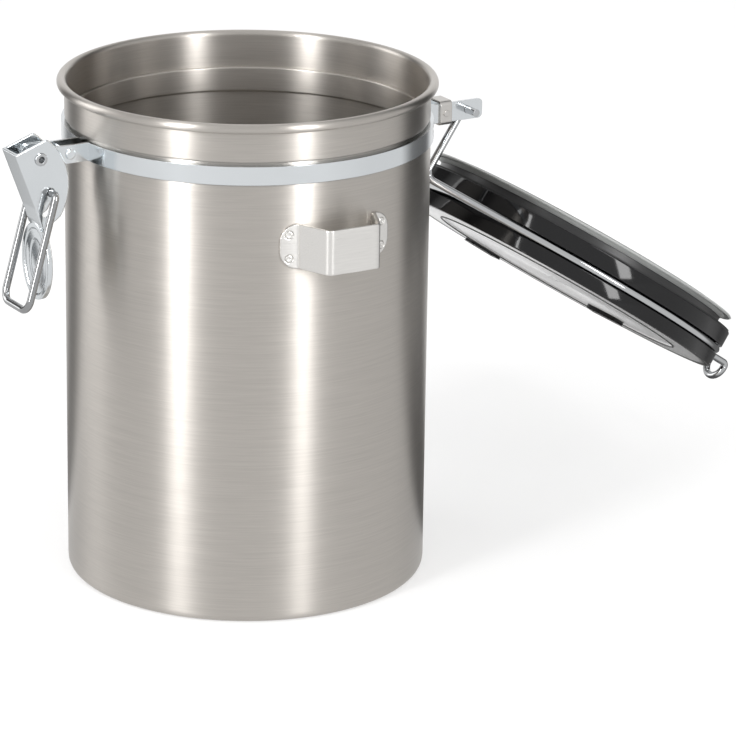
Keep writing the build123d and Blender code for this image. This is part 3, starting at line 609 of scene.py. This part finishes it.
def level_direction(azimuth):
    """Level direction out from the part; azimuth 0 is its front, positive to the viewer's left."""
    turn = math.radians(azimuth)
    return (-math.sin(turn), -math.cos(turn), 0)


def look(azimuth, elevation, distance):
    """Point at a distance from the aim; azimuth 0 is in front of it, positive to the viewer's left."""
    a, e = math.radians(azimuth), math.radians(elevation)
    return AIM + distance * Vector((-math.sin(a) * math.cos(e), -math.cos(a) * math.cos(e), math.sin(e)))


def make_camera():
    """Camera where the photograph was taken from."""
    camera = bpy.data.objects.new("camera", bpy.data.cameras.new("camera"))
    bpy.context.scene.collection.objects.link(camera)
    camera.location = look(VIEW_TURN, VIEW_UP, VIEW_DISTANCE)
    facing = (AIM - camera.location).to_track_quat("-Z", "Y").to_matrix().to_4x4()
    camera.rotation_euler = (facing @ Matrix.Rotation(math.radians(VIEW_ROLL), 4, "Z")).to_euler()
    camera.data.lens = FOCAL
    camera.data.sensor_width = SENSOR
    bpy.context.scene.camera = camera


def studio_level(holder, vector):
    """Brightness of the studio by level direction: a ramp from straight behind to the front, and a flag."""
    flat = flattened(holder, vector)
    unit = node(holder, "ShaderNodeVectorMath", {0: flat}, operation="NORMALIZE").outputs[0]
    front = measured(holder, unit, "DOT_PRODUCT", level_direction(VIEW_TURN))
    ramp = node(holder, "ShaderNodeValToRGB", {"Fac": ranged(holder, front, 0, 1, (-1, 1))})
    elements = ramp.color_ramp.elements
    while len(elements) < len(STUDIO_STOPS):
        elements.new(0.5)
    for element, (position, level) in zip(elements, STUDIO_STOPS):
        element.position = position
        element.color = (level, level, level, 1)
    beside = measured(holder, unit, "DOT_PRODUCT", level_direction(FLAG_TURN))
    flag = ranged(holder, beside, 1, FLAG_LEVEL, FLAG_EDGES)
    made = node(holder, "ShaderNodeVectorMath", {0: ramp.outputs[0], "Scale": flag}, operation="SCALE")
    return made.outputs[0]


def make_floor():
    """Pale floor that takes the shadow, looks white, and shows the studio's levels in metal."""
    mesh = bpy.data.meshes.new("floor")
    corners = [(x * FLOOR_REACH, y * FLOOR_REACH, 0) for x, y in ((-1, -1), (1, -1), (1, 1), (-1, 1))]
    mesh.from_pydata(corners, [], [(0, 1, 2, 3)])
    floor = bpy.data.objects.new("floor", mesh)
    bpy.context.scene.collection.objects.link(floor)
    material, shader = new_material("floor", FLOOR_GREY, 0.0, FLOOR_ROUGH)
    mesh.materials.append(material)
    tree = material.node_tree
    rays = node(material, "ShaderNodeLightPath").outputs
    where = node(material, "ShaderNodeNewGeometry").outputs["Position"]
    mirrored = node(material, "ShaderNodeEmission", {"Color": studio_level(material, where)})
    seen = node(material, "ShaderNodeEmission", Strength=FLOOR_GLOW)
    lit = mixed(material, times(material, rays["Is Glossy Ray"], FLOOR_MIRROR), shader, mirrored)
    both = mixed(material, times(material, rays["Is Camera Ray"], FLOOR_SHARE), lit, seen)
    tree.links.new(both.outputs[0], tree.nodes["Material Output"].inputs["Surface"])


def make_world():
    """Even white light, with the studio's levels for what metal mirrors, and white where it is seen."""
    world = bpy.data.worlds.new("world")
    bpy.context.scene.world = world
    world.use_nodes = True
    tree = world.node_tree
    where = node(world, "ShaderNodeTexCoord").outputs["Generated"]
    sky = tree.nodes["Background"]
    tree.links.new(studio_level(world, where), sky.inputs["Color"])
    even = node(world, "ShaderNodeBackground", Color=(1, 1, 1, 1), Strength=WORLD_LEVEL)
    white = node(world, "ShaderNodeBackground", Color=(1, 1, 1, 1))
    rays = node(world, "ShaderNodeLightPath").outputs
    lit = mixed(world, rays["Is Diffuse Ray"], sky, even)
    both = mixed(world, rays["Is Camera Ray"], lit, white)
    tree.links.new(both.outputs[0], tree.nodes["World Output"].inputs["Surface"])


def panel(name, azimuth, elevation, distance, width, height, power):
    """Soft rectangular lamp that faces the aim."""
    lamp = bpy.data.objects.new(name, bpy.data.lights.new(name, "AREA"))
    bpy.context.scene.collection.objects.link(lamp)
    lamp.data.shape = "RECTANGLE"
    lamp.data.size, lamp.data.size_y, lamp.data.energy = width, height, power
    lamp.location = look(azimuth, elevation, distance)
    lamp.rotation_euler = (AIM - lamp.location).to_track_quat("-Z", "Y").to_euler()


make_camera()
make_floor()
make_world()
panel("key", VIEW_TURN + 41, elevation=22, distance=1.3, width=0.23, height=1.0, power=8.6)
panel("fill", VIEW_TURN - 35, elevation=22, distance=1.3, width=0.2, height=1.0, power=7.2)
panel("side", VIEW_TURN + 105, elevation=20, distance=1.4, width=0.5, height=1.0, power=3.2)
bpy.context.scene.view_settings.view_transform = "Standard"
